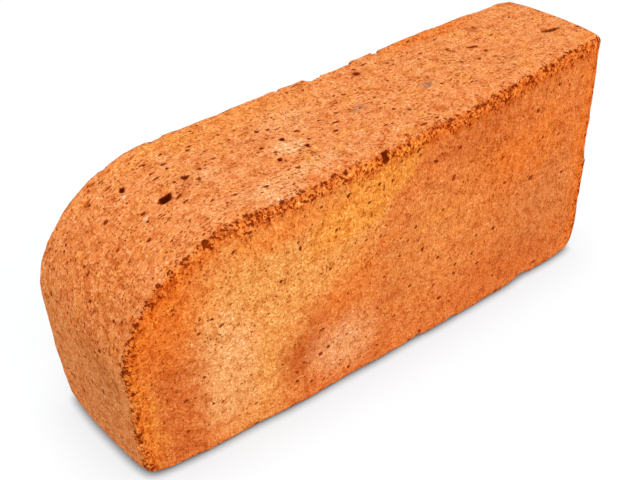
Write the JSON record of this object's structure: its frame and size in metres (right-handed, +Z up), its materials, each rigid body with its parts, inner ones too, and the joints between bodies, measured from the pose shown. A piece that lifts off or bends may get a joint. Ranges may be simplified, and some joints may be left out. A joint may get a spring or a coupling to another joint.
{
  "type": "bullnose clay brick",
  "caption": "Solid orange-red clay brick with one large rounded corner, standing on its long edge; bowed bed face, worn arrises and pitted skin.",
  "frame": {"origin": "on the resting face, under the middle of the brick's box", "axes": "+X along the length from the bullnose end to the square end, +Y from the front bed face to the back bed face, +Z up"},
  "size_m": [0.2284, 0.0608, 0.1017],
  "materials": {
    "fired_clay": "matt unglazed fired clay, orange-red with tan patches and fine pits"
  },
  "bodies": {
    "root": {"bullnose_brick": "fired_clay"}
  },
  "joints": []
}
